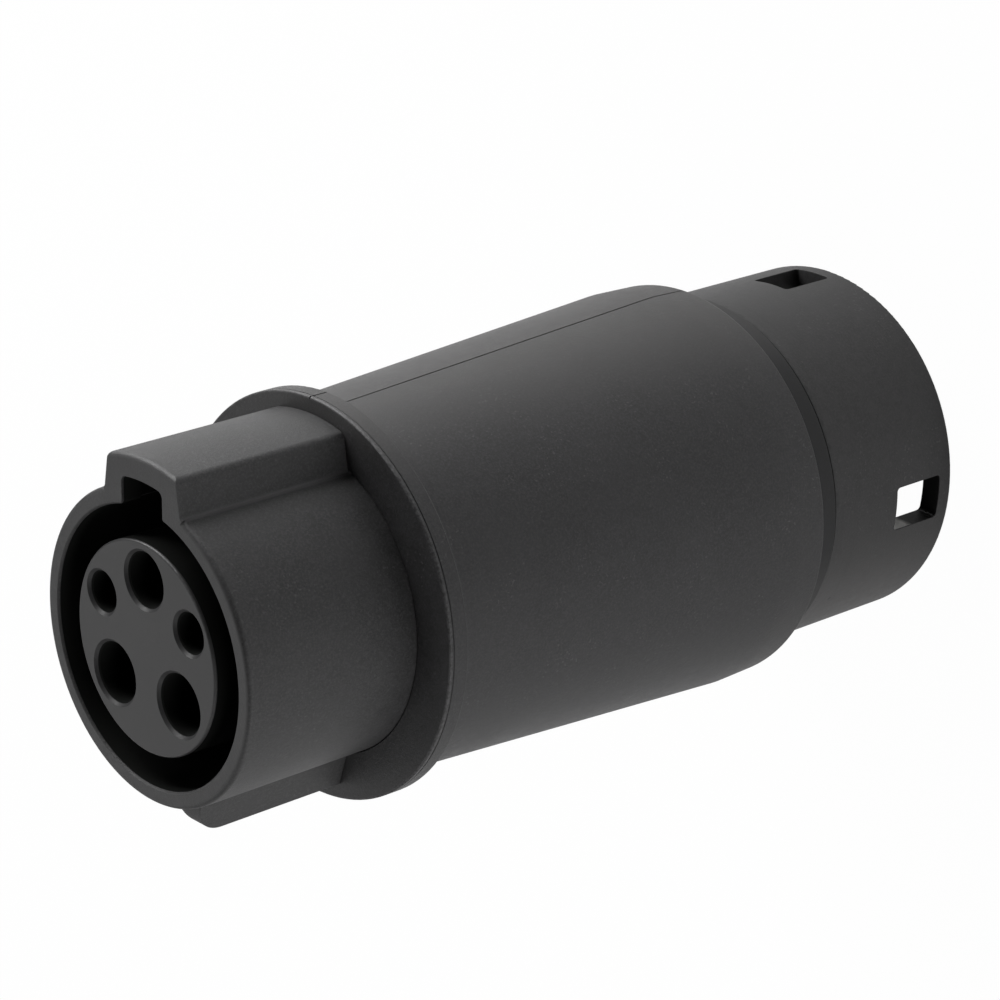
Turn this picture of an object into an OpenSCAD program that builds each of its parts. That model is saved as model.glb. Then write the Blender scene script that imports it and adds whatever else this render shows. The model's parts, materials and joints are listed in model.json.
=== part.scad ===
// Charging adapter: a round five-socket plug at one end, a barrel inlet at the other.
// Stands on the barrel rim, plug face up, hood towards +Y, seam in the YZ plane.

/* [Overall] */
// Height from the barrel rim to the plug face
total_length = 128; // [126:0.5:134]
// Length of the plug sleeve ahead of the flange
nose_length = 27.8; // [27:0.1:29]
// Length of barrel that shows below the body
barrel_shown = 30.3; // [29:0.1:31]

/* [Plug sleeve] */
// Outside diameter of the round sleeve
sleeve_d = 43.8; // [43.4:0.1:44.2]
// Wall of the sleeve
sleeve_wall = 2.45; // [2:0.05:2.6]
// Depth of the ring groove between sleeve and core
groove_depth = 25; // [22:0.5:25.5]
// Rounding of the sleeve's outer front edge
sleeve_round = 0.8; // [0.4:0.1:1.2]
// Lead-in chamfer inside the sleeve mouth
sleeve_lead = 0.25; // [0.2:0.05:0.6]

/* [Hood] */
// Outside radius of the hood's top
hood_r = 26.4; // [26:0.1:27]
// Hood width at the top
hood_top_w = 14.4; // [14:0.1:15]
// Hood width where it meets the sleeve
hood_root_w = 16.1; // [15.6:0.1:17]
// Gap between the hood's rear end and the flange
hood_gap = 0.35; // [0.2:0.05:0.6]
// Fillet where the hood meets the sleeve
hood_fillet = 0.6; // [0.3:0.1:0.9]
// Rounding of the hood's long edges
hood_round = 1.2; // [0.8:0.1:1.6]
// Width of the latch notch in the hood
notch_w = 8.7; // [8.2:0.1:9]
// Radius of the notch's roof
notch_r = 23.3; // [23:0.1:23.8]
// Rounding where the notch opens into the groove
notch_lip_round = 0.8; // [0.4:0.1:1]
// Corner radius inside the notch
notch_round = 1; // [0.5:0.1:1.3]
// Length of the narrow lip at the notch mouth
notch_lip = 3.2; // [2:0.1:5]
// How much wider the notch is behind the lip, each side
notch_undercut = 1.2; // [0.5:0.1:1.4]

/* [Fin] */
// Distance of the fin's inner face from the middle plane
fin_x = 3.6; // [2.5:0.1:4]
// Thickness of the fin's tip
fin_t = 2.4; // [2:0.1:3]
// Extra width of the fin at its root, each side
fin_draft = 1.7; // [0.8:0.1:2]
// How far the fin's tip stands from the axis
fin_reach = 25.7; // [25:0.1:26.2]
// How far the fin's front sits behind the plug face
fin_back = 2.9; // [1:0.1:4]
// Gap between the fin's rear end and the flange
fin_gap = 0.55; // [0.2:0.05:0.8]
// Radius of the fin's front lower corner
fin_round = 4.5; // [2:0.1:6]

/* [Plug core] */
// Width of the ring groove between sleeve and core
groove_w = 4.65; // [4.5:0.05:4.9]
// Rounding of the core's face edge
core_round = 0.35; // [0.2:0.05:0.6]
// Chamfer of the hole mouths
mouth_chamfer = 0.6; // [0.3:0.05:0.7]
// How far the socket tips sit behind the plug face
tip_recess = 8; // [6:0.5:10]
// Radius of the two power holes
power_hole_r = 4.1; // [4:0.05:4.3]
// Radius of the ground hole
ground_hole_r = 3.7; // [3.5:0.05:3.9]
// Radius of the two signal holes
signal_hole_r = 2.7; // [2.5:0.05:2.9]

/* [Plug sockets] */
// Bore radius of the power sockets
power_bore_r = 1.8; // [1.7:0.01:1.9]
// Bore radius of the ground socket
ground_bore_r = 1.4; // [1.3:0.01:1.5]
// Bore radius of the signal sockets
signal_bore_r = 0.75; // [0.7:0.01:0.85]
// Width of the slits in the sockets
slit_w = 0.4; // [0.3:0.05:0.5]
// Length of the slits
slit_length = 12; // [8:0.5:14]

/* [Body] */
// How far the flange stands out from the body
flange_step = 2.2; // [1.9:0.1:2.6]
// Thickness of the flange
flange_t = 4; // [3.6:0.1:4.4]
// Rounding of the flange's edges
flange_round = 0.5; // [0.3:0.1:0.8]
// How far the body stands out from the sleeve, just behind the flange
front_step = 4.5; // [4.4:0.1:4.9]
// How far the body's far end stands out from the barrel
rear_step = 3.15; // [3:0.05:3.4]
// Length of the straighter stretch at the body's far end
shoulder_l = 6.7; // [5:0.1:9]
// How much the body still widens over that stretch
shoulder_rise = 0.1; // [0:0.02:0.2]
// Fillet between flange and body
body_fillet = 1; // [0.6:0.1:1.4]
// Rounding of the body's far edge
body_round = 0.6; // [0.4:0.1:0.9]
// Wall of the shell
shell_wall = 2.6; // [2.3:0.1:2.7]
// Half width of the fine groove along the seam
seam_w = 0.12; // [0.08:0.01:0.16]
// Depth of the fine groove along the seam
seam_depth = 0.3; // [0.2:0.05:0.4]

/* [Barrel] */
// Outside diameter of the barrel
barrel_d = 53; // [52.8:0.1:53.2]
// Depth of the barrel from its rim to its floor
barrel_depth = 30; // [29.6:0.1:30.4]
// Wall of the barrel
barrel_wall = 3.2; // [3:0.05:3.3]
// How much of the dark band shows below the body
band_shown = 5.1; // [4.5:0.1:6]
// How far the dark band stands out from the barrel
band_proud = 0.35; // [0.2:0.05:0.6]
// Width of a window
window_w = 6.7; // [6:0.1:8]
// Length of a window along the axis
window_l = 9.2; // [8:0.1:9.6]
// Distance of the windows from the rim
window_rim = 2.6; // [2:0.1:3]
// Turn of the two side windows from the X axis
side_turn = -3.3; // [-6:0.1:6]
// Turn of the two other windows from the Y axis
top_turn = 1.5; // [-6:0.1:6]

/* [Inlet] */
// Ring space between the barrel wall and the inlet core
inlet_space = 5.8; // [5.5:0.1:6]
// How far the inlet core sits behind the rim
inlet_recess = 14; // [13:0.1:16]
// Bore radius of the inlet's power and ground sockets
inlet_bore_r = 3; // [2.9:0.01:3.1]
// Bore radius of the inlet's signal sockets
inlet_small_r = 1.5; // [1.4:0.01:1.6]

/* [Wiring] */
// Radius of the power and ground wires
wire_r = 2.3; // [1.8:0.1:2.6]
// Radius of the signal wires
thin_wire_r = 1.1; // [0.8:0.1:1.4]

/* [Hidden] */
$fn = 96;

// fits: slide between rigid pieces, gap round soft ones
slide_gap = 0.15;
soft_gap = 0.3;

// heights along the axis
flange_front = total_length - nose_length;
flange_rear = flange_front - flange_t;
groove_floor = total_length - groove_depth;
web_t = groove_w * 1.075;
web_rear = groove_floor - web_t;
front_wall_t = flange_t * 1.55;
front_wall_rear = flange_front - front_wall_t;
nose_flange_t = flange_t;
nose_rear = front_wall_rear - nose_flange_t;
body_end = barrel_shown;
mouth_depth = barrel_wall * 0.72;
seat_z = body_end + mouth_depth;
band_low = body_end - band_shown;
bulkhead_z = barrel_depth;
bulkhead_t = barrel_wall * 1.25;
bulkhead_rear = bulkhead_z + bulkhead_t;
back_l = barrel_wall * 3.125;
barrel_top = bulkhead_rear + back_l;

// radii
sleeve_r = sleeve_d / 2;
groove_r = sleeve_r - sleeve_wall;
core_r = groove_r - groove_w;
barrel_r = barrel_d / 2;
barrel_in_r = barrel_r - barrel_wall;
barrel_back_r = barrel_in_r - barrel_wall / 4;
body_front_r = sleeve_r + front_step;
body_rear_r = barrel_r + rear_step;
shoulder_r = body_rear_r - shoulder_rise;
flange_r = body_front_r + flange_step;
nose_flange_r = body_front_r - shell_wall - 0.2;
mouth_r = barrel_r + rear_step * 0.62;
inlet_r = barrel_in_r - inlet_space;

// the body's side: a long taper, then a straighter stretch at the far end
slope_low = body_end + shoulder_l;
slope_high = flange_rear - body_fillet * 1.2;
body_rise = (shoulder_r - body_front_r) / (slope_high - slope_low);
function body_r(z) = body_front_r + (slope_high - z) * body_rise;

// core flange, retainer and snap bead behind the nose web
core_flange_r = core_r + groove_w * 0.9;
core_flange_t = nose_flange_t * 0.875;
retainer_t = nose_flange_t * 0.75;
bead_t = nose_flange_t / 4;
core_rear = web_rear - core_flange_t;
retainer_rear = core_rear - retainer_t;
nose_back_r = core_flange_r + 1;

// same stack in the barrel, the other way up
inlet_flange_r = barrel_back_r - 1.7;
inlet_flange_t = bulkhead_t * 0.75;
inlet_rear = bulkhead_rear + inlet_flange_t;
inlet_retainer_rear = inlet_rear + retainer_t;

// plug socket places, seen from the plug face with the hood up
power_x = core_r * 0.4682;
power_y = -core_r * 0.3838;
signal_x = core_r * 0.6318;
signal_y = core_r * 0.3446;
ground_y = core_r * 0.6486;
tip_z = total_length - tip_recess;
collar_t = core_flange_t * 0.857;
bore_floor = web_rear + collar_t;
tail_l = 12;
tail_z = core_rear - tail_l;

// inlet socket places
inlet_pitch = inlet_r * 22 / 35;
inlet_rise = inlet_r * 19 / 35;
inlet_signal_x = inlet_r * 11 / 35;
inlet_tip_z = inlet_recess + collar_t;
inlet_bore_end = bulkhead_rear - bulkhead_t / 2;
inlet_tail_l = 10;
inlet_tail_z = inlet_rear + inlet_tail_l;

// sockets: wall round the bore, how far the collar stands out, tail radii
power_wall = 1.5;
signal_wall = 1.15;
collar_step = 1.1;
tail_r = 2.6;
thin_tail_r = 1.4;
inlet_wall = 0.8;
hole_gap = 0.7;

// one row per plug socket: x, y, bore, body, collar and tail radius, hole radius
function socket_row(x, y, bore, wall, tail, hole) =
  [x, y, bore, bore + wall, bore + wall + collar_step, tail, hole];
function inlet_row(x, y, bore, tail) =
  socket_row(x, y, bore, inlet_wall, tail, bore + inlet_wall + hole_gap);
plug_line = socket_row(-power_x, power_y, power_bore_r, power_wall, tail_r, power_hole_r);
plug_neutral = socket_row(power_x, power_y, power_bore_r, power_wall, tail_r, power_hole_r);
plug_ground = socket_row(0, ground_y, ground_bore_r, power_wall, tail_r, ground_hole_r);
plug_pilot = socket_row(signal_x, signal_y, signal_bore_r, signal_wall, thin_tail_r, signal_hole_r);
plug_proximity = socket_row(-signal_x, signal_y, signal_bore_r, signal_wall, thin_tail_r, signal_hole_r);
plug_places = [plug_line, plug_neutral, plug_ground, plug_pilot, plug_proximity];

// the same for the inlet sockets
inlet_line = inlet_row(-inlet_pitch, 0, inlet_bore_r, tail_r);
inlet_neutral = inlet_row(inlet_pitch, 0, inlet_bore_r, tail_r);
inlet_ground = inlet_row(0, 0, inlet_bore_r, tail_r);
inlet_pilot = inlet_row(inlet_signal_x, inlet_rise, inlet_small_r, thin_tail_r);
inlet_proximity = inlet_row(-inlet_signal_x, inlet_rise, inlet_small_r, thin_tail_r);
inlet_places = [inlet_line, inlet_neutral, inlet_ground, inlet_pilot, inlet_proximity];

// ring grooves for the two face seals
seal_r = 0.7;
seal_w = (seal_r + soft_gap) * 2.2;
seal_depth = (seal_r + soft_gap) * 2;
plug_seal_r = (core_r + core_flange_r) / 2 + 0.2;
inlet_seal_r = (inlet_r + inlet_flange_r) / 2 + 0.1;

// resistor in the proximity line
resistor_l = 7;
resistor_r = 1.2;
lead_l = 4;
lead_r = 0.35;
resistor_low = tail_z - resistor_l - lead_l * 2;

// shell details
band_sunk = barrel_wall * 0.19;
rib_t = shell_wall;
nose_stop_r = nose_back_r + 0.9;
barrel_rib_z = bulkhead_rear + rib_t * 0.8;
groove_cut = barrel_wall / 2;
barrel_rib_r = barrel_r - groove_cut;
key_w = 4;
key_gap = 0.1;
boss_r = 3;
boss_x = 5;
boss_in = 2.2;
pin_in = 2.9;
pin_r = 1.3;
pin_l = 2.6;
tongue_l = 1.2;
tongue_t = 1;
lap_gap = 0.1;
middle_z = (seat_z + flange_rear) / 2;
boss_heights = [middle_z - 10, middle_z + 16];
far = flange_r + body_rear_r;
hairline = 0.15;

black = [0.13, 0.13, 0.135];
dark = [0.08, 0.08, 0.085];
metal = [0.8, 0.78, 0.72];

// the material outside an exact quarter round of radius r, corner at the origin
module corner_scrap(r) {
  difference() {
    translate([-r, -r]) square(r + 1);
    translate([-r, -r]) circle(r);
    translate([-r - 1, -r - 1]) square([1, r + 2]);
    translate([-r - 1, -r - 1]) square([r + 2, 1]);
  }
}

// ring with a plain rectangular section
module ring(outer, inner, z, t) {
  translate([0, 0, z]) difference() {
    cylinder(r = outer, h = t);
    translate([0, 0, -1]) cylinder(r = inner, h = t + 2);
  }
}

// half section of the shell's outside; inset draws it smaller all round
module body_section(inset = 0) {
  edge_z = body_end + body_round;
  edge_x = body_rear_r - inset - body_round;
  front = body_front_r - inset;
  rim = flange_r - inset;
  difference() {
    union() {
      polygon([
        [0, body_end], [edge_x, body_end], [edge_x, edge_z], [edge_x + body_round, edge_z],
        [shoulder_r - inset, slope_low], [front, slope_high], [front, flange_rear],
        [rim, flange_rear], [rim, flange_front - inset], [0, flange_front - inset]
      ]);
      translate([edge_x, edge_z]) circle(body_round);
      difference() {
        translate([front - 1, flange_rear - body_fillet])
          square([1 + body_fillet, body_fillet + 0.5]);
        translate([front + body_fillet, flange_rear - body_fillet]) circle(body_fillet);
      }
    }
    translate([rim, flange_front - inset]) corner_scrap(flange_round);
    translate([rim, flange_rear]) mirror([0, 1]) corner_scrap(flange_round);
    // hairline behind the flange's front edge
    translate([rim - hairline, flange_front - inset - flange_round * 2])
      square([1, hairline * 1.3]);
  }
}

// half section of the hollow inside the shell
module hollow_section() {
  narrow_top = barrel_top + 0.3;
  wide_low = narrow_top + 2;
  polygon([
    [0, body_end - 1], [mouth_r, body_end - 1], [mouth_r, seat_z],
    [barrel_r + slide_gap, seat_z], [barrel_r + slide_gap, narrow_top],
    [body_r(wide_low) - shell_wall, wide_low],
    [body_r(front_wall_rear) - shell_wall, front_wall_rear],
    [sleeve_r + slide_gap, front_wall_rear], [sleeve_r + slide_gap, flange_front + 1],
    [0, flange_front + 1]
  ]);
}

// whole shell before it is split
module shell() {
  nose_key_x = nose_flange_r - 1.4;
  barrel_key_x = barrel_back_r + 1;
  difference() {
    rotate_extrude() body_section();
    rotate_extrude() hollow_section();
  }
  // stop ring behind the nose and rib that holds the barrel
  ring(body_r(nose_rear) - shell_wall / 2, nose_stop_r, nose_rear - key_gap - rib_t, rib_t);
  ring(barrel_r + 1, barrel_rib_r, barrel_rib_z + key_gap, rib_t);
  // keys that stop the nose and the barrel from turning
  for (side = [0, 1]) mirror([side, 0]) {
    translate([nose_key_x, -key_w / 2, nose_rear + key_gap])
      cube([body_front_r - shell_wall / 2 - nose_key_x, key_w, nose_flange_t]);
    translate([barrel_key_x, -key_w / 2, barrel_top - key_w + key_gap * 2])
      cube([barrel_r + 1 - barrel_key_x, key_w, key_w]);
  }
  // bosses for the locating pins
  for (z = boss_heights, up = [-1, 1])
    translate([-boss_x, up * (body_r(z) - shell_wall - boss_in), z])
      rotate([0, 90, 0]) cylinder(r = boss_r, h = boss_x * 2);
}

// everything on one side of the seam
module half_space(side) {
  translate([side > 0 ? 0 : -far, -far, 0]) cube([far, far * 2, total_length]);
}

// fine groove along the outside of the seam
module seam_scrap() {
  intersection() {
    translate([-seam_w, -far, body_end - 1]) cube([seam_w * 2, far * 2, flange_front]);
    difference() {
      cylinder(r = far, h = total_length);
      rotate_extrude() body_section(seam_depth);
    }
  }
}

// inner layer of the wall that laps across the seam
module tongue(gap) {
  low = barrel_top + key_w;
  high = nose_rear - rib_t * 1.8;
  in_low = body_r(low) - shell_wall;
  in_high = body_r(high) - shell_wall;
  back = gap > 0 ? 1 : 0;
  intersection() {
    rotate_extrude() polygon([
      [in_low - back, low - gap], [in_low + tongue_t + gap, low - gap],
      [in_high + tongue_t + gap, high + gap], [in_high - back, high + gap]
    ]);
    translate([-tongue_l / 2, -far, low - 1])
      cube([tongue_l * 1.5 + gap, far * 2, high - low + 2]);
  }
}

// locating pins, or with a gap their sockets
module locating_pins(gap) {
  for (z = boss_heights, up = [-1, 1])
    translate([-1, up * (body_r(z) - shell_wall - pin_in), z])
      rotate([0, 90, 0]) cylinder(r = pin_r + gap, h = pin_l + 1 + gap * 4);
}

module housing_left() {
  color(black) {
    difference() {
      shell();
      half_space(1);
      seam_scrap();
    }
    tongue(0);
    locating_pins(0);
  }
}

module housing_right() {
  color(black) difference() {
    shell();
    half_space(-1);
    seam_scrap();
    tongue(lap_gap);
    locating_pins(lap_gap);
  }
}

// outline of the hood: draft sides, exact rounded corners on a concentric top
module hood_outline() {
  foot = [hood_root_w / 2, sleeve_r - 1.7];
  top = [hood_top_w / 2, hood_r - 1];
  run = norm(top - foot);
  side = [(top[1] - foot[1]) / run, (foot[0] - top[0]) / run];
  reach = hood_r - hood_round;
  turn = asin((side * foot - hood_round) / reach) - atan2(side[1], side[0]);
  c = [reach * sin(turn), reach * cos(turn)];
  // centre of the fillet between side and sleeve
  f_reach = sleeve_r + hood_fillet;
  f_turn = asin((side * foot + hood_fillet) / f_reach) - atan2(side[1], side[0]);
  f = [f_reach * sin(f_turn), f_reach * cos(f_turn)];
  along = [-side[1], side[0]];
  difference() {
    union() {
      intersection() {
        circle(hood_r);
        polygon([[0, 0], [hood_r * 1.2 * sin(turn), hood_r * 1.2 * cos(turn)],
          [-hood_r * 1.2 * sin(turn), hood_r * 1.2 * cos(turn)]]);
      }
      for (s = [0, 1]) mirror([s, 0]) {
        translate(c) circle(hood_round);
        polygon([[0, core_r], [foot[0], core_r], foot, c + side * hood_round, c, [0, c[1]]]);
        difference() {
          polygon([side * (side * foot - 0.5) + along * (along * f), f,
            f * ((sleeve_r - 0.5) / norm(f)), foot * 0.95]);
          translate(f) circle(hood_fillet);
        }
      }
    }
    circle(sleeve_r - 1);
  }
}

// outline of the latch notch, opened down into the ring groove
module notch_outline(w) {
  reach = notch_r - notch_round;
  cx = w / 2 - notch_round;
  cy = sqrt(reach * reach - cx * cx);
  // centre of the rounding where the side wall meets the groove
  lx = w / 2 + notch_lip_round;
  ly = sqrt(pow(groove_r + notch_lip_round, 2) - lx * lx);
  intersection() {
    circle(notch_r);
    polygon([[0, 0], [cx * 1.5, cy * 1.5], [-cx * 1.5, cy * 1.5]]);
  }
  for (s = [0, 1]) mirror([s, 0]) {
    translate([cx, cy]) circle(notch_round);
    polygon([[0, core_r + 1], [w / 2, core_r + 1], [w / 2, cy], [cx, cy], [0, cy]]);
    difference() {
      polygon([[w / 2 - 0.2, ly], [lx, ly],
        [lx, ly] * ((groove_r - 0.2) / (groove_r + notch_lip_round)), [w / 2 - 0.2, core_r + 2]]);
      translate([lx, ly]) circle(notch_lip_round);
    }
  }
}

// section of the sleeve, from its rear flange to the rounded front edge
module sleeve_section() {
  difference() {
    polygon([
      [nose_back_r, nose_rear], [nose_flange_r, nose_rear],
      [nose_flange_r, front_wall_rear - 0.1], [sleeve_r, front_wall_rear - 0.1],
      [sleeve_r, total_length], [groove_r + sleeve_lead, total_length],
      [groove_r, total_length - sleeve_lead], [groove_r, groove_floor],
      [core_r + slide_gap, groove_floor], [core_r + slide_gap, web_rear],
      [nose_back_r, web_rear], [nose_back_r, retainer_rear - 0.1],
      [nose_back_r - 0.45, retainer_rear - 0.4], [nose_back_r - 0.45, retainer_rear - bead_t]
    ]);
    translate([sleeve_r, total_length]) corner_scrap(sleeve_round);
    // groove for the face seal
    translate([plug_seal_r - seal_w / 2, web_rear - 1]) square([seal_w, 1 + seal_depth]);
  }
}

module fin() {
  intersection() {
    translate([0, 0, flange_front + fin_gap]) linear_extrude(nose_length)
      polygon([[fin_x - fin_draft, -sleeve_r + 1.5], [fin_x, -fin_reach],
        [fin_x + fin_t, -fin_reach], [fin_x + fin_t + fin_draft, -sleeve_r + 1.5]]);
    rotate([90, 0, 90]) linear_extrude(sleeve_r) difference() {
      translate([-fin_reach, flange_front]) square([fin_reach, nose_length - fin_back]);
      translate([-fin_reach, total_length - fin_back]) mirror([1, 0]) corner_scrap(fin_round);
    }
  }
}

module plug_nose() {
  color(black) difference() {
    union() {
      rotate_extrude() sleeve_section();
      intersection() {
        translate([0, 0, flange_front + hood_gap])
          linear_extrude(nose_length - hood_gap) hood_outline();
        rotate_extrude() difference() {
          translate([0, flange_front]) square([hood_r + 1, nose_length]);
          translate([hood_r, total_length]) corner_scrap(sleeve_round);
        }
      }
      difference() {
        fin();
        cylinder(r = sleeve_r - 1, h = total_length);
      }
    }
    translate([0, 0, groove_floor]) linear_extrude(groove_depth - notch_lip)
      notch_outline(notch_w + notch_undercut * 2);
    translate([0, 0, total_length - notch_lip - 1]) linear_extrude(notch_lip + 2)
      notch_outline(notch_w);
    // slots for the shell's keys
    for (side = [0, 1]) mirror([side, 0])
      translate([nose_flange_r - 1.4 - slide_gap, -key_w / 2 - key_gap, nose_rear - 1])
        cube([key_w, key_w + key_gap * 2, nose_flange_t + 1 - key_gap]);
  }
}

module plug_core() {
  color(dark) difference() {
    rotate_extrude() difference() {
      polygon([[0, core_rear], [core_flange_r, core_rear], [core_flange_r, web_rear],
        [core_r, web_rear], [core_r, total_length], [0, total_length]]);
      translate([core_r, total_length]) corner_scrap(core_round);
    }
    for (p = plug_places) translate([p[0], p[1], 0]) {
      translate([0, 0, bore_floor + 1]) cylinder(r = p[6], h = groove_depth + web_t);
      translate([0, 0, total_length - mouth_chamfer])
        cylinder(r1 = p[6], r2 = p[6] + mouth_chamfer * 2, h = mouth_chamfer * 2);
      translate([0, 0, core_rear - 1]) cylinder(r = p[3] + slide_gap, h = web_t * 3);
      translate([0, 0, core_rear - 1]) cylinder(r = p[4] + slide_gap, h = collar_t + 1);
    }
  }
}

// slit socket with its collar and crimp tail; p is its row, heights run up to the tip
module socket(p, tip, bore_end, collar, tail, wall_side) {
  low = collar - (wall_side > 0 ? 0 : collar_t);
  difference() {
    translate([p[0], p[1], 0]) rotate_extrude($fn = 64) polygon([
      [0, tail], [p[5] - 0.3, tail], [p[5], tail + 0.3 * wall_side], [p[5], collar],
      [p[4], collar], [p[4], collar + collar_t * wall_side],
      [p[3], collar + collar_t * wall_side], [p[3], tip - 0.4 * wall_side],
      [p[3] - 0.4, tip], [p[2] + 0.25, tip], [p[2], tip - 0.25 * wall_side],
      [p[2], bore_end], [0, bore_end]
    ]);
    for (turn = [0, 90])
      translate([p[0], p[1], tip - (wall_side > 0 ? slit_length : 1)])
        rotate([0, 0, turn + 45])
          translate([-p[3] - 1, -min(slit_w, p[2] * 0.4) / 2, 0])
            cube([p[3] * 2 + 2, min(slit_w, p[2] * 0.4), slit_length + 1]);
  }
}

module plug_socket(p) {
  color(metal) socket(p, tip_z, bore_floor, core_rear, tail_z, 1);
}

module inlet_socket(p) {
  color(metal) socket(p, inlet_tip_z, inlet_bore_end, inlet_rear, inlet_tail_z, -1);
}

module plug_contact_line() { plug_socket(plug_line); }
module plug_contact_neutral() { plug_socket(plug_neutral); }
module plug_contact_ground() { plug_socket(plug_ground); }
module plug_contact_pilot() { plug_socket(plug_pilot); }
module plug_contact_proximity() { plug_socket(plug_proximity); }
module inlet_contact_line() { inlet_socket(inlet_line); }
module inlet_contact_neutral() { inlet_socket(inlet_neutral); }
module inlet_contact_ground() { inlet_socket(inlet_ground); }
module inlet_contact_pilot() { inlet_socket(inlet_pilot); }
module inlet_contact_proximity() { inlet_socket(inlet_proximity); }

// ring seals lie in their grooves, clear all round
module plug_seal() {
  color(dark) rotate_extrude()
    translate([plug_seal_r, web_rear + seal_depth / 2]) circle(seal_r, $fn = 32);
}

module inlet_seal() {
  color(dark) rotate_extrude()
    translate([inlet_seal_r, bulkhead_rear - seal_depth / 2]) circle(seal_r, $fn = 32);
}

// plate behind a core, with a hole for each tail
module retainer(r, z, places) {
  difference() {
    translate([0, 0, z]) cylinder(r = r, h = retainer_t);
    for (p = places)
      translate([p[0], p[1], z - 1]) cylinder(r = p[5] + slide_gap, h = retainer_t + 2);
  }
}

module plug_retainer() {
  color(dark) retainer(nose_back_r - slide_gap, retainer_rear, plug_places);
}

module inlet_retainer() {
  color(dark) retainer(barrel_back_r - slide_gap, inlet_rear, inlet_places);
}

// outline of one window, standing on its lower edge
module window_outline() {
  r = 0.6;
  translate([-window_w / 2 + r, 0]) square([window_w - r * 2, window_l]);
  translate([-window_w / 2, r]) square([window_w, window_l - r * 2]);
  for (x = [-1, 1], z = [r, window_l - r])
    translate([x * (window_w / 2 - r), z]) circle(r, $fn = 32);
}

module inlet_barrel() {
  lead = 0.5;
  color(black) difference() {
    rotate_extrude() difference() {
      polygon([
        [barrel_in_r + lead, 0], [barrel_r, 0], [barrel_r, band_low - soft_gap],
        [barrel_r - band_sunk, band_low - soft_gap], [barrel_r - band_sunk, seat_z + 0.3],
        [barrel_r, seat_z + 0.3], [barrel_r, barrel_rib_z],
        [barrel_rib_r - key_gap * 2, barrel_rib_z],
        [barrel_rib_r - key_gap * 2, barrel_rib_z + rib_t + key_gap * 2],
        [barrel_r, barrel_rib_z + rib_t + key_gap * 2], [barrel_r, barrel_top],
        [barrel_back_r, barrel_top], [barrel_back_r, inlet_retainer_rear + bead_t + 0.2],
        [barrel_back_r - 0.4, inlet_retainer_rear + bead_t - 0.2],
        [barrel_back_r - 0.4, inlet_retainer_rear + 0.4],
        [barrel_back_r, inlet_retainer_rear + 0.1], [barrel_back_r, bulkhead_rear],
        [inlet_r + slide_gap, bulkhead_rear], [inlet_r + slide_gap, bulkhead_z],
        [barrel_in_r, bulkhead_z], [barrel_in_r, lead]
      ]);
      translate([inlet_seal_r - seal_w / 2, bulkhead_rear - seal_depth])
        square([seal_w, seal_depth + 1]);
      translate([barrel_r, 0]) mirror([0, 1]) corner_scrap(0.5);
    }
    for (turn = [side_turn, side_turn + 180, 90 + top_turn, 270 + top_turn])
      rotate([0, 0, turn]) translate([barrel_in_r - 2, 0, window_rim])
        rotate([90, 0, 90]) linear_extrude(barrel_wall + 4) window_outline();
    for (side = [0, 1]) mirror([side, 0])
      translate([barrel_back_r - 1, -key_w / 2 - key_gap, barrel_top - key_w])
        cube([key_w * 2, key_w + key_gap * 2, key_w * 2]);
  }
}

// soft band round the barrel at the body's end
module collar_seal() {
  in_r = barrel_r - band_sunk + soft_gap;
  color(dark) rotate_extrude() difference() {
    polygon([
      [in_r, band_low], [barrel_r + band_proud, band_low],
      [barrel_r + band_proud, seat_z - soft_gap], [in_r, seat_z - soft_gap]
    ]);
    translate([barrel_r + band_proud, band_low]) mirror([0, 1]) corner_scrap(band_proud * 0.9);
  }
}

module inlet_core() {
  color(dark) difference() {
    rotate_extrude() difference() {
      polygon([[0, inlet_recess], [inlet_r, inlet_recess], [inlet_r, bulkhead_rear],
        [inlet_flange_r, bulkhead_rear], [inlet_flange_r, inlet_rear], [0, inlet_rear]]);
      translate([inlet_r, inlet_recess]) mirror([0, 1]) corner_scrap(0.6);
    }
    for (p = inlet_places) translate([p[0], p[1], 0]) {
      translate([0, 0, inlet_recess - 1]) cylinder(r = p[6], h = inlet_bore_end - inlet_recess);
      translate([0, 0, inlet_recess]) cylinder(r = p[3] + slide_gap, h = inlet_rear);
      translate([0, 0, inlet_rear - collar_t]) cylinder(r = p[4] + slide_gap, h = collar_t + 1);
    }
    // two positions of the pattern carry no socket
    for (side = [-1, 1])
      translate([side * inlet_signal_x, -inlet_rise, inlet_recess - 1])
        cylinder(r = inlet_line[6], h = inlet_bore_end - inlet_recess);
  }
}

// wire that leaves both ends square, its middle line a smooth S between two places
module wire(from, to, low, high, r) {
  rings = 18;
  sides = 12;
  points = [for (i = [0:rings], k = [0:sides - 1])
    let (t = i / rings, s = t * t * (3 - 2 * t), a = k * 360 / sides)
    [from[0] + (to[0] - from[0]) * s + r * cos(a),
      from[1] + (to[1] - from[1]) * s + r * sin(a),
      low + (high - low) * t]];
  sheets = [for (i = [0:rings - 1], k = [0:sides - 1])
    let (n = (k + 1) % sides, b = i * sides)
    for (f = [[b + k, b + sides + n, b + n], [b + k, b + sides + k, b + sides + n]]) f];
  ends = [[for (k = [0:sides - 1]) k], [for (k = [sides - 1:-1:0]) rings * sides + k]];
  polyhedron(points = points, faces = concat(sheets, ends));
}

// wire from an inlet socket's tail up to the plug socket above it
module joined(from, to, r, high) {
  wire(from, to, inlet_tail_z, high, r);
}

module wire_line() {
  color([0.5, 0.28, 0.14]) joined(inlet_line, plug_line, wire_r, tail_z);
}

module wire_neutral() {
  color([0.15, 0.3, 0.6]) joined(inlet_neutral, plug_neutral, wire_r, tail_z);
}

module wire_ground() {
  color([0.4, 0.6, 0.2]) joined(inlet_ground, plug_ground, wire_r, tail_z);
}

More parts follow.
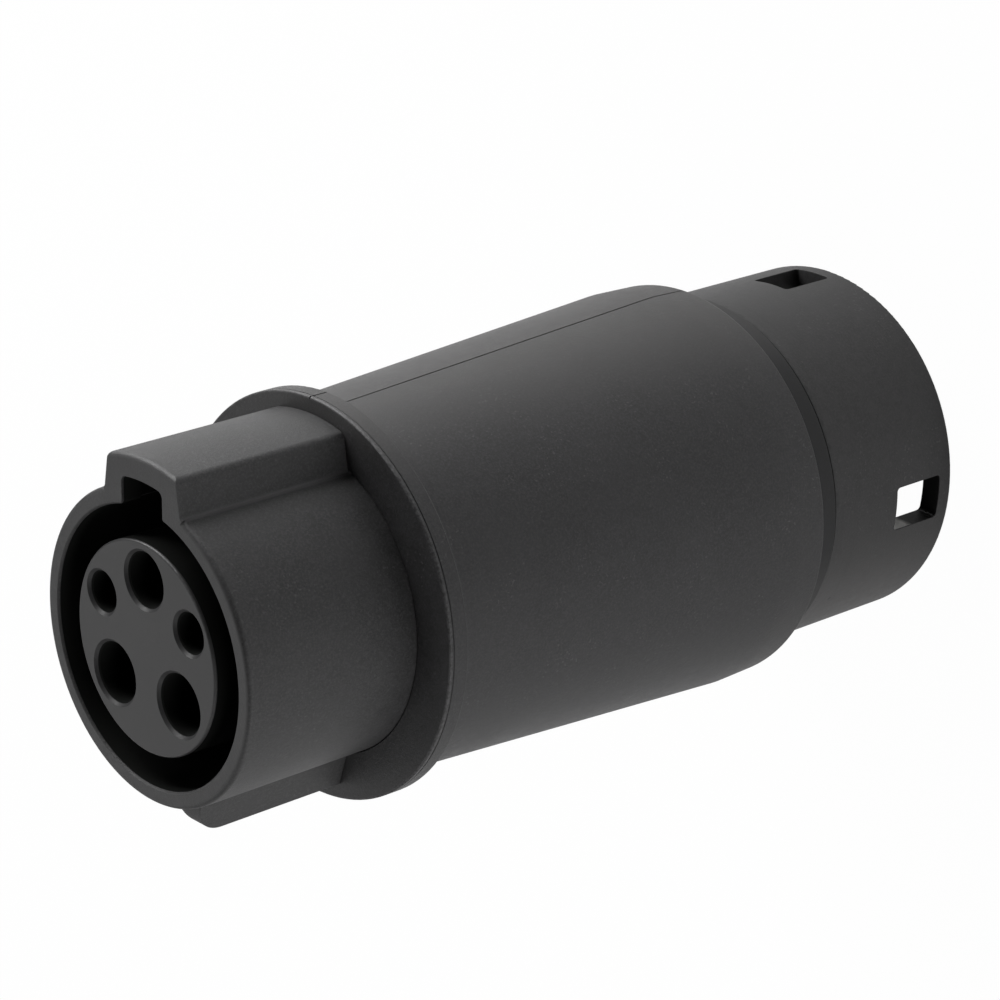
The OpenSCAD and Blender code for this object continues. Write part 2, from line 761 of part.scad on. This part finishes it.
module wire_pilot() {
  color([0.75, 0.75, 0.7]) joined(inlet_pilot, plug_pilot, thin_wire_r, tail_z);
}

module wire_proximity() {
  color([0.6, 0.6, 0.6]) joined(inlet_proximity, plug_proximity, thin_wire_r, resistor_low);
}

module proximity_resistor() {
  bulge = resistor_l / 10;
  color([0.75, 0.68, 0.5]) translate([plug_proximity[0], plug_proximity[1], resistor_low])
    rotate_extrude($fn = 48) {
      square([lead_r, resistor_l + lead_l * 2]);
      translate([0, lead_l]) square([resistor_r, resistor_l]);
      for (z = [lead_l + bulge, lead_l + resistor_l - bulge * 2])
        translate([0, z]) square([resistor_r + bulge / 3, bulge]);
    }
}

housing_left();
housing_right();
plug_nose();
plug_core();
plug_contact_line();
plug_contact_neutral();
plug_contact_ground();
plug_contact_pilot();
plug_contact_proximity();
plug_seal();
plug_retainer();
inlet_barrel();
collar_seal();
inlet_core();
inlet_contact_line();
inlet_contact_neutral();
inlet_contact_ground();
inlet_contact_pilot();
inlet_contact_proximity();
inlet_seal();
inlet_retainer();
wire_line();
wire_neutral();
wire_ground();
wire_pilot();
wire_proximity();
proximity_resistor();
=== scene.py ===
import bmesh
import bpy
import json
import math
import numpy as np
from mathutils import Matrix, Vector


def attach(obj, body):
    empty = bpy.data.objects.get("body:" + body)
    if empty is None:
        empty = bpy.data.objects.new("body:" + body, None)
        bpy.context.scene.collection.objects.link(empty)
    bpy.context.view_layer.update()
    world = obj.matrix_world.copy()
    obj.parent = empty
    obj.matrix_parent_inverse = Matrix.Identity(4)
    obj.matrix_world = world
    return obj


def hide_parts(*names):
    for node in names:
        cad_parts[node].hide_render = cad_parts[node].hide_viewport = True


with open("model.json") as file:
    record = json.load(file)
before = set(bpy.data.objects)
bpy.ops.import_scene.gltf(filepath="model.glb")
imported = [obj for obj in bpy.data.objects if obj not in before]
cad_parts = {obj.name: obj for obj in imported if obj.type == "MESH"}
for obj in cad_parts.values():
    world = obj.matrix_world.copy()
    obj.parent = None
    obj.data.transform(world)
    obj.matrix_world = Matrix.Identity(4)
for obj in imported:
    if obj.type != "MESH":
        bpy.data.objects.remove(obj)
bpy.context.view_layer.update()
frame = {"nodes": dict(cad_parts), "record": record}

nodes = frame["nodes"]
print("frame loaded,", len(nodes), "nodes")


class Wire:
    # a shader socket that sums take from either side; node() adds any other node beside it
    def __init__(self, tree, socket):
        self.tree = tree
        self.socket = socket

    def node(self, kind, settings, sockets, out=0):
        n = self.tree.nodes.new(kind)
        for k, v in settings.items():
            setattr(n, k, v)
        for k, v in sockets.items():
            if isinstance(v, Wire):
                self.tree.links.new(v.socket, n.inputs[k])
            else:
                n.inputs[k].default_value = v
        return Wire(self.tree, n.outputs[out])

    def sum(self, operation, a, b=0.0):
        return self.node("ShaderNodeMath", {"operation": operation}, {0: a, 1: b})

    def __add__(self, other):
        return self.sum("ADD", self, other)

    def __radd__(self, other):
        return self.sum("ADD", other, self)

    def __sub__(self, other):
        return self.sum("SUBTRACT", self, other)

    def __rsub__(self, other):
        return self.sum("SUBTRACT", other, self)

    def __mul__(self, other):
        return self.sum("MULTIPLY", self, other)

    def __rmul__(self, other):
        return self.sum("MULTIPLY", other, self)

    def __pow__(self, other):
        return self.sum("POWER", self, other)

    def __neg__(self):
        return self.sum("MULTIPLY", -1.0, self)

    def __abs__(self):
        return self.sum("ABSOLUTE", self)

    def into(self, shader, name):
        self.tree.links.new(self.socket, shader.inputs[name])


def step(w, low, high):
    # 0 below low, 1 above high, smooth between
    stops = {0: w, 1: low, 2: high, 3: 0.0, 4: 1.0}
    return w.node("ShaderNodeMapRange", {"interpolation_type": "SMOOTHSTEP"}, stops)


def under(w, low, high):
    # 1 below low, 0 above high
    return 1.0 - step(w, low, high)


def larger(a, b):
    return a.sum("MAXIMUM", a, b)


def noise(place, scale, detail=2.0, rough=0.5):
    look = {"Vector": place, "Scale": scale, "Detail": detail, "Roughness": rough}
    return place.node("ShaderNodeTexNoise", {}, look)


def stretched(place, x, y, z):
    return place.node("ShaderNodeMapping", {}, {"Vector": place, "Scale": (x, y, z)})


def mixColour(fac, a, b):
    ends = {k: v if isinstance(v, Wire) else (*v, 1.0) for k, v in ((6, a), (7, b))}
    return fac.node("ShaderNodeMix", {"data_type": "RGBA"}, {0: fac, **ends}, 2)


def scaled(colour, k):
    return tuple(min(1.0, c * k) for c in colour)


def newMaterial(name):
    mat = bpy.data.materials.new(name)
    mat.use_nodes = True
    tree = mat.node_tree
    shader = tree.nodes["Principled BSDF"]
    place = Wire(tree, tree.nodes.new("ShaderNodeTexCoord").outputs["Object"])
    return mat, shader, place


def blended(tree, shader, other, fac):
    # the surface is shader where fac is 0 and other where it is 1
    mix = tree.nodes.new("ShaderNodeMixShader")
    fac.into(mix, 0)
    tree.links.new(shader.outputs[0], mix.inputs[1])
    tree.links.new(other.outputs[0], mix.inputs[2])
    tree.links.new(mix.outputs[0], tree.nodes["Material Output"].inputs["Surface"])


def part(place, axis):
    # one coordinate in millimetres
    return place.node("ShaderNodeSeparateXYZ", {}, {0: place}, axis) * 1000.0


def coordinates(place):
    # x, y and z in millimetres, and the distance from the axis
    x, y, z = (part(place, axis) for axis in (0, 1, 2))
    return x, y, z, (x * x + y * y) ** 0.5


def spotOf(x, y, z):
    return x.node("ShaderNodeCombineXYZ", {}, {0: x, 1: y, 2: z})


# matte moulded plastic, one row for each slot
# grain is the depth of the spark-eroded skin and edge the softness of corners, both in metres
# cloud, pits and specks are how strong the mottling, the fine grain's colour and the dust are
shellLook = {"colour": (0.0305, 0.03, 0.031), "rough": 0.5, "grain": 0.00009,
             "cloud": 0.17, "pits": 0.75, "specks": 0.6, "edge": 0.00012}
noseLook = {"colour": (0.0345, 0.0341, 0.0348), "rough": 0.52, "grain": 0.0001,
            "cloud": 0.18, "pits": 0.85, "specks": 0.45, "edge": 0.00008}
barrelLook = {"colour": (0.0295, 0.029, 0.0295), "rough": 0.48, "grain": 0.00006,
              "cloud": 0.2, "pits": 0.5, "specks": 0.4, "edge": 0.00015}
coreLook = {"colour": (0.0372, 0.0368, 0.0376), "rough": 0.42, "grain": 0.00001,
            "cloud": 0.06, "pits": 0.15, "specks": 0.2, "edge": 0.00006}
plateLook = {"colour": (0.04, 0.04, 0.042), "rough": 0.5, "grain": 0.00002,
             "cloud": 0.1, "pits": 0.2, "specks": 0.0, "edge": 0.0002}
sealLook = {"colour": (0.012, 0.012, 0.0125), "rough": 0.6, "grain": 0.00003,
            "cloud": 0.3, "pits": 0.6, "specks": 0.0, "edge": 0.0001}

# what all of them share: scales of the noises per metre, and how far the grain lightens the colour
skinSet = {"fine": 2800.0, "patch": 620.0, "cloud": 95.0, "patchShare": 0.55, "pitTone": 1.8,
           "dust": 2600.0, "dusty": 130.0, "dustColour": (0.12, 0.12, 0.12), "dustShare": 0.7,
           "fineRough": 0.16, "toneRough": 0.07, "bump": 0.6, "ior": 1.45}
# black painted as shade in groove, notch, holes and window walls, and also the colour of one dark dot on the
# barrel
paintedShadeAndDotBlack = (0.013, 0.0135, 0.0128)


def plastic(name, look, tint=None):
    # grain from fine noise, clouds from broad noise, rare pale dust
    # tint(colour, x, y, z, r) may repaint places, painted light among them, and gives the mask of those
    # painted black as shade
    mat, shader, place = newMaterial(name)
    fine = noise(place, skinSet["fine"], 4.0, 0.75)
    patch = noise(place, skinSet["patch"], 3.0, 0.6)
    cloud = noise(place, skinSet["cloud"])
    share = skinSet["patchShare"]
    tone = step(patch * share + cloud * (1.0 - share), 0.32, 0.68)
    base, spread = look["colour"], look["cloud"]
    colour = mixColour(tone, scaled(base, 1.0 - spread), scaled(base, 1.0 + spread))
    colour = mixColour(step(fine, 0.42, 0.68) * look["pits"], colour, scaled(base, skinSet["pitTone"]))
    if look["specks"] > 0.0:
        where = step(noise(place, skinSet["dusty"]), 0.4, 0.7)
        dust = step(noise(place, skinSet["dust"], 0.0), 0.7, 0.77) * where * look["specks"]
        colour = mixColour(dust * skinSet["dustShare"], colour, skinSet["dustColour"])
    paintedShade = None
    if tint:
        colour, paintedShade = tint(colour, *coordinates(place))
    colour.into(shader, "Base Color")
    rough = look["rough"] + (fine - 0.5) * skinSet["fineRough"] + (tone - 0.5) * skinSet["toneRough"]
    rough.into(shader, "Roughness")
    corner = place.node("ShaderNodeBevel", {"samples": 6}, {"Radius": look["edge"]})
    skin = {"Strength": skinSet["bump"], "Distance": look["grain"], "Height": fine, "Normal": corner}
    place.node("ShaderNodeBump", {}, skin).into(shader, "Normal")
    shader.inputs["IOR"].default_value = skinSet["ior"]
    # painted shade: where the tint's mask says so, a plain black surface stands in for the shade
    if paintedShade:
        paintedShadeShader = mat.node_tree.nodes.new("ShaderNodeBsdfDiffuse")
        paintedShadeShader.inputs["Color"].default_value = (*paintedShadeAndDotBlack, 1.0)
        blended(mat.node_tree, shader, paintedShadeShader, paintedShade)
    return mat


# heights in millimetres between which the colour turns to painted shade, black, going in
# and the edges of groove, notch and hood; the root's and face's tones are painted highlight and painted
# light
shadeAndLightSet = {"full": 127.72, "coreFull": 127.64, "dark": 127.55,
             "grooveRadius": 19.5, "notchRadius": 23.35, "notchHalf": 5.6,
             "rootHalf": 8.35, "rootWidth": (0.12, 0.42), "rootRadii": (21.0, 21.5, 22.1, 22.5),
             "rootHighlightTone": 3.2, "face": (127.85, 127.98), "faceLightTone": 1.55}


def noseShadeAndLight(colour, x, y, z, r):
    # painted shade blackens ring groove and latch notch; a painted highlight runs along the hood's root
    # and painted light makes the rim's face a little paler than the skin
    groove = under(r, shadeAndLightSet["grooveRadius"], shadeAndLightSet["grooveRadius"] + 0.12)
    upper = step(y, 0.0, 1.0)
    inNotch = under(abs(x), shadeAndLightSet["notchHalf"], shadeAndLightSet["notchHalf"] + 0.1) * upper
    notch = inNotch * under(r, shadeAndLightSet["notchRadius"], shadeAndLightSet["notchRadius"] + 0.1)
    r1, r2, r3, r4 = shadeAndLightSet["rootRadii"]
    root = under(abs(abs(x) - shadeAndLightSet["rootHalf"]), *shadeAndLightSet["rootWidth"])
    root = root * under(r, r3, r4) * step(r, r1, r2) * upper
    skin = noseLook["colour"]
    # painted highlight: a light line along the hood's root
    colour = mixColour(root * 0.7, colour, scaled(skin, shadeAndLightSet["rootHighlightTone"]))
    # painted light: the rim's face paler
    colour = mixColour(step(z, *shadeAndLightSet["face"]), colour, scaled(skin, shadeAndLightSet["faceLightTone"]))
    # painted shade: groove and notch go black going in
    return colour, larger(groove, notch) * under(z, shadeAndLightSet["dark"], shadeAndLightSet["full"])


def corePaintedShade(colour, x, y, z, r):
    # painted shade: everything behind the core's face and its rounded edges, in the holes or in the groove,
    # is black
    return colour, under(z, shadeAndLightSet["dark"], shadeAndLightSet["coreFull"])


# a warmer colour for the painted light where the photograph is paler, and heights and half widths in
# millimetres
flangeSet = {"line": 99.42, "lineHalf": 0.1, "front": 99.85, "radius": (28.2, 28.4),
             "paintedLight": (0.0353, 0.0341, 0.0338), "top": (21.0, 29.5), "topLightTone": 1.7,
             "crease": (37.4, 38.6), "low": (3.0, 24.0), "endLightTone": 1.45}


def shellPaintedLight(colour, x, y, z, r):
    # painted light makes the top and the far end below a soft crease paler; a painted shadow line
    # and a painted highlight on the flange's edge; the paler places follow tones measured in the photograph
    paintedLight = flangeSet["paintedLight"]
    # painted light: paler top
    colour = mixColour(step(y, *flangeSet["top"]) * 0.6, colour, scaled(paintedLight, flangeSet["topLightTone"]))
    # painted light: paler far end below the crease
    farEnd = under(z, *flangeSet["crease"]) * step(-y, *flangeSet["low"])
    colour = mixColour(farEnd * 0.6, colour, scaled(paintedLight, flangeSet["endLightTone"]))
    flange = step(r, *flangeSet["radius"])
    half = flangeSet["lineHalf"]
    line = under(abs(z - flangeSet["line"]), half * 0.6, half * 1.4)
    colour = mixColour(line * flange * 0.3, colour, scaled(shellLook["colour"], 0.3))
    # painted highlight along the flange's front edge, broken into patches by noise
    patchy = step(noise(spotOf(x, y, z), 2.2, 3.0), 0.35, 0.6)
    edgeHighlight = step(z, flangeSet["front"] - 0.25, flangeSet["front"]) * flange * patchy
    return mixColour(edgeHighlight * 0.6, colour, scaled(shellLook["colour"], 3.0)), None


# the band's lower edge, the dot's place, the painted light on the underside
# and the open window: its lean against x, its ledge painted as lit and its walls painted as shade
barrelSet = {"bandLow": 25.2, "ragged": 1.8, "dot": (22.3, -14.3, 20.9), "dotRadius": 0.3,
             "paintedLight": (0.0345, 0.0332, 0.033), "paintedLightTone": 1.9, "low": (-2.0, 20.0),
             "lean": 0.0577, "halfWidth": 3.4, "ledge": (3.25, 3.3), "lit": (7.4, 8.6),
             "ledgeColour": (0.75, 0.74, 0.72), "wallRadii": (23.4, 23.5, 26.25, 26.4),
             "wallHeights": (2.0, 2.5, 11.9, 12.4), "openSide": (18.0, 20.0)}


def barrelMarksAndLight(colour, x, y, z, r):
    # painted light on the underside, as pale as the photograph's
    # ragged dark edge beside the band, smears below it, one dark dot
    # and the open window's walls painted black as shade, but for a ledge painted as if lit
    spot = spotOf(x, y, z)
    paintedLight = scaled(barrelSet["paintedLight"], barrelSet["paintedLightTone"])
    # painted light: the underside paler
    colour = mixColour(step(-y, *barrelSet["low"]) * 0.7, colour, paintedLight)
    height = z + noise(spot, 0.9, 3.0) * barrelSet["ragged"]
    edge = step(height, barrelSet["bandLow"] + 0.1, barrelSet["bandLow"] + 0.5) * step(y, -2.0, 5.0)
    colour = mixColour(edge * 0.75, colour, sealLook["colour"])
    smear = step(noise(stretched(spot, 0.1, 0.1, 0.9), 1.0, 3.0), 0.5, 0.75) * step(z, 15.0, 23.0)
    colour = mixColour(smear * 0.3, colour, scaled(barrelLook["colour"], 0.55))
    gap = spot.node("ShaderNodeVectorMath", {"operation": "DISTANCE"}, {0: spot, 1: barrelSet["dot"]}, 1)
    dot = under(gap, barrelSet["dotRadius"] * 0.7, barrelSet["dotRadius"] * 1.2)
    colour = mixColour(dot * 0.85, colour, scaled(paintedShadeAndDotBlack, 0.5))
    r1, r2, r3, r4 = barrelSet["wallRadii"]
    z1, z2, z3, z4 = barrelSet["wallHeights"]
    across = y + x * barrelSet["lean"]
    half = barrelSet["halfWidth"]
    paintedShadeWall = step(r, r1, r2) * under(r, r3, r4) * step(z, z1, z2) * under(z, z3, z4)
    paintedShadeWall = paintedShadeWall * step(x, *barrelSet["openSide"]) * under(abs(across), half, half + 0.1)
    # painted shade: the window's walls black
    colour = mixColour(paintedShadeWall, colour, scaled(paintedShadeAndDotBlack, 0.5))
    ledge = step(-across, *barrelSet["ledge"]) * step(z, *barrelSet["lit"])
    return mixColour(paintedShadeWall * ledge, colour, barrelSet["ledgeColour"]), None


def bandFade(colour, x, y, z, r):
    # the band is darkest on the upper half, and turns to the barrel's grey at the top and below
    ragged = (noise(spotOf(x, y, z), 0.8) - 0.5) * 5.0
    patchy = larger(under(y + ragged, -10.0, -3.0), step(y, 20.0, 25.0))
    return mixColour(patchy * step(r, 26.3, 26.5) * 0.9, colour, barrelLook["colour"]), None


metalLook = {"colour": (0.55, 0.53, 0.48), "rough": 0.32, "tarnish": 0.72}


def plated(name, look):
    # silver plating with turning marks across the axis and a little tarnish
    mat, shader, place = newMaterial(name)
    marks = noise(stretched(place, 1.0, 1.0, 30.0), 220.0, 3.0)
    stain = step(noise(place, 420.0, 3.0), 0.45, 0.75)
    mixColour(stain, look["colour"], scaled(look["colour"], look["tarnish"])).into(shader, "Base Color")
    (look["rough"] + (marks - 0.5) * 0.2 + stain * 0.12).into(shader, "Roughness")
    shader.inputs["Metallic"].default_value = 1.0
    return mat


# cover colours by slot; the second one of the ground wire is its other side
wireLook = {"brown": (0.18, 0.08, 0.03), "blue": (0.04, 0.12, 0.4), "green": (0.14, 0.35, 0.06),
            "yellow": (0.75, 0.6, 0.05), "white": (0.6, 0.6, 0.56), "rough": 0.42}


def insulation(name, colour, second=None):
    # extruded wire cover: faint lengthwise streaks, and a second colour on one side if it has one
    mat, shader, place = newMaterial(name)
    streak = noise(stretched(place, 1.0, 1.0, 0.06), 900.0)
    shade = mixColour(streak, scaled(colour, 0.85), scaled(colour, 1.12))
    if second:
        shade = mixColour(step(part(place, 0), 0.2, 0.5), shade, second)
    shade.into(shader, "Base Color")
    (wireLook["rough"] + (streak - 0.5) * 0.15).into(shader, "Roughness")
    return mat


coatLook = {"heights": (72.2, 73.9, 75.5, 77.1), "half": 0.4, "rough": 0.25,
            "coat": ((0.5, 0.4, 0.24), (0.62, 0.5, 0.32)),
            "rings": ((0.16, 0.05, 0.02), (0.03, 0.22, 0.05), (0.16, 0.05, 0.02), (0.5, 0.33, 0.05))}


def lacquer(name, look):
    # resistor coat with its colour rings at heights along the body
    mat, shader, place = newMaterial(name)
    height = part(place, 2)
    colour = mixColour(noise(place, 700.0), *look["coat"])
    for z, ring in zip(look["heights"], look["rings"]):
        colour = mixColour(under(abs(height - z), look["half"] * 0.9, look["half"] * 1.1), colour, ring)
    colour.into(shader, "Base Color")
    shader.inputs["Roughness"].default_value = look["rough"]
    return mat


looks = {
    "shell_plastic": plastic("shellPlastic", shellLook, shellPaintedLight),
    "nose_plastic": plastic("nosePlastic", noseLook, noseShadeAndLight),
    "barrel_plastic": plastic("barrelPlastic", barrelLook, barrelMarksAndLight),
    "core_plastic": plastic("corePlastic", coreLook, corePaintedShade),
    "plate_plastic": plastic("platePlastic", plateLook),
    "seal_rubber": plastic("sealRubber", sealLook, bandFade),
    "contact_metal": plated("contactPlating", metalLook),
    "wire_brown": insulation("wireBrown", wireLook["brown"]),
    "wire_blue": insulation("wireBlue", wireLook["blue"]),
    "wire_green": insulation("wireGreen", wireLook["green"], wireLook["yellow"]),
    "wire_white": insulation("wireWhite", wireLook["white"]),
    "resistor_coat": lacquer("resistorCoat", coatLook),
}
slots = {piece["node"]: piece["material_slot"] for piece in frame["record"]["subparts"]}
for node, slot in slots.items():
    nodes[node].data.materials.clear()
    nodes[node].data.materials.append(looks[slot])
print("materials on", len(nodes), "nodes")


# where rings of the shell's outside move, in millimetres, from the first row to the second
shellForm = {
    "flangeRadius": ((26.4, 27.4, 28.1, 28.6), (26.4, 28.2, 28.3, 28.6)),
    "flangeHeight": ((95.2, 96.2, 96.7, 99.7, 100.2), (95.2, 97.0, 97.3, 99.9, 100.2)),
    "flangeFrom": (25.9, 94.9),
    "side": ((30.9, 37.0, 95.0), (29.65, 29.55, 26.4)),
    "sideShift": (-0.2, 0.098, 0.0),
    "skin": 0.7,
}


def shellRings(x, r, z):
    # first the seam's groove, 0.3 mm in, is filled on the flange's front face
    # flange: both coordinates read from a broken line; side: a shift that is linear between three heights
    front = (np.abs(x) < 0.25) & (z > 99.8) & (z < 100.0)
    r = np.where(front & (r > 27.7) & (r < 27.9), 28.1, r)
    z = np.where(front & (r < 28.2), 100.2, z)
    fromR, fromZ = shellForm["flangeFrom"]
    flange = (z > fromZ) & (r > fromR)
    newR = np.where(flange, np.interp(r, *shellForm["flangeRadius"]), r)
    newZ = np.where(flange, np.interp(z, *shellForm["flangeHeight"]), z)
    heights, radii = shellForm["side"]
    side = (z < fromZ) & (r > np.interp(z, heights, radii) - shellForm["skin"])
    return newR + side * np.interp(z, heights, shellForm["sideShift"]), newZ


# heights between which the rear ends of hood and fin lie outside this radius, and where they go
noseForm = {"radius": 21.5, "heights": (100.4, 100.9), "seat": 100.3}


def noseRings(x, r, z):
    # the rear ends of hood and fin come down to 0.1 mm above the flange
    low, high = noseForm["heights"]
    return r, np.where((r > noseForm["radius"]) & (z > low) & (z < high), noseForm["seat"], z)


sharpAngle = math.radians(28.0)


def formed(name, node, rings):
    # the node's mesh merged, each point's radius and height about the axis moved by rings(x, radius, height)
    mesh = bpy.data.meshes.new(name)
    loose = bmesh.new()
    loose.from_mesh(nodes[node].data)
    bmesh.ops.remove_doubles(loose, verts=loose.verts, dist=1e-6)
    loose.to_mesh(mesh)
    loose.free()
    for layer in [a for a in mesh.attributes if a.name == "custom_normal"]:
        mesh.attributes.remove(layer)
    points = np.empty(len(mesh.vertices) * 3)
    mesh.vertices.foreach_get("co", points)
    points = points.reshape(-1, 3)
    radius = np.hypot(points[:, 0], points[:, 1]) * 1000.0
    newR, newZ = rings(points[:, 0] * 1000.0, radius, points[:, 2] * 1000.0)
    points[:, :2] *= (newR / np.maximum(radius, 1e-6))[:, None]
    points[:, 2] = newZ / 1000.0
    mesh.vertices.foreach_set("co", points.ravel())
    mesh.shade_smooth()
    mesh.set_sharp_from_angle(angle=sharpAngle)
    mesh.update()
    piece = bpy.data.objects.new(name, mesh)
    bpy.context.scene.collection.objects.link(piece)
    piece.modifiers.new("weighted", "WEIGHTED_NORMAL").keep_sharp = True
    mesh.materials.clear()
    mesh.materials.append(looks[slots[node]])
    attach(piece, "root")
    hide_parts(node)


formed("shell_left", "housing_left", shellRings)
formed("shell_right", "housing_right", shellRings)
formed("nose_moulding", "plug_nose", noseRings)
print("flange, shoulder and hood formed")


# the photograph's camera, fitted to the part's circles
cameraSet = {
    "lens": 128.79,
    "sensor": 36.0,
    "place": (0.34846, 0.18356, 0.38244),
    "right": (0.66894751, 0.01209843, -0.74321118),
    "up": (-0.27038259, 0.93533186, -0.22813935),
    "back": (0.69238897, 0.35356461, 0.62895913),
}
camData = bpy.data.cameras.new("photoCamera")
camData.lens = cameraSet["lens"]
camData.sensor_width = cameraSet["sensor"]
camera = bpy.data.objects.new("photoCamera", camData)
bpy.context.scene.collection.objects.link(camera)
turn = Matrix((cameraSet["right"], cameraSet["up"], cameraSet["back"])).transposed().to_4x4()
camera.matrix_world = Matrix.Translation(Vector(cameraSet["place"])) @ turn
bpy.context.scene.camera = camera

# soft boxes: where each stands from the middle of the part, its distance, width, height and power
middle = Vector((0.0, 0.0, 0.064))
lampSet = {
    "topBox": {"from": (-0.7, 1.0, 0.3), "distance": 0.6, "size": (0.36, 0.36), "power": 4.5},
    "sideBox": {"from": (-0.6, 0.07, 0.8), "distance": 0.6, "size": (0.45, 0.45), "power": 0.6},
    "lowBox": {"from": (0.8, -0.9, 0.3), "distance": 0.6, "size": (0.36, 0.36), "power": 0.99},
    "farLowBox": {"from": (-0.13, -0.6, 0.8), "distance": 0.6, "size": (0.45, 0.45), "power": 0.67},
    "nearBox": {"from": (1.0, -0.2, 0.25), "distance": 0.6, "size": (0.36, 0.36), "power": 0.73},
    "backBox": {"from": (-0.8, -0.6, 0.5), "distance": 0.6, "size": (0.4, 0.4), "power": 0.42},
}
for name, lamp in lampSet.items():
    data = bpy.data.lights.new(name, "AREA")
    data.shape = "RECTANGLE"
    data.size, data.size_y = lamp["size"]
    data.energy = lamp["power"]
    ob = bpy.data.objects.new(name, data)
    bpy.context.scene.collection.objects.link(ob)
    away = Vector(lamp["from"]).normalized()
    ob.location = middle + away * lamp["distance"]
    ob.rotation_mode = "QUATERNION"
    ob.rotation_quaternion = away.to_track_quat("Z", "Y")
    ob.visible_camera = False

worldSet = {"colour": (1.0, 1.0, 1.0, 1.0), "strength": 0.0}
world = bpy.data.worlds.new("studio")
bpy.context.scene.world = world
world.use_nodes = True
sky = world.node_tree.nodes["Background"]
sky.inputs["Color"].default_value = worldSet["colour"]
sky.inputs["Strength"].default_value = worldSet["strength"]


# white floor that keeps a soft shadow; seen by the camera or in a gloss it is mixed towards plain white
# its half width and its gap under the rim are in metres
floorSet = {"half": 6.0, "gap": 0.00005, "colour": 0.9, "rough": 0.9, "white": 0.98, "glossWhite": 0.25}


def floorWhite():
    mat, shader, place = newMaterial("floorWhite")
    c = floorSet["colour"]
    shader.inputs["Base Color"].default_value = (c, c, c, 1.0)
    shader.inputs["Roughness"].default_value = floorSet["rough"]
    tree = mat.node_tree
    path = tree.nodes.new("ShaderNodeLightPath").outputs
    rays = ("Is Camera Ray", "Is Glossy Ray", "Is Transmission Ray")
    seen, gloss, through = (Wire(tree, path[ray]) for ray in rays)
    fac = seen * floorSet["white"] + larger(gloss, through) * floorSet["glossWhite"]
    blended(tree, shader, tree.nodes.new("ShaderNodeEmission"), fac)
    return mat


h, below = floorSet["half"], -floorSet["gap"]
mesh = bpy.data.meshes.new("floor")
mesh.from_pydata([(-h, -h, below), (h, -h, below), (h, h, below), (-h, h, below)], [], [(0, 1, 2, 3)])
floor = bpy.data.objects.new("floor", mesh)
bpy.context.scene.collection.objects.link(floor)
mesh.materials.append(floorWhite())

bpy.context.scene.view_settings.view_transform = "Standard"
print("camera, lights and floor set")
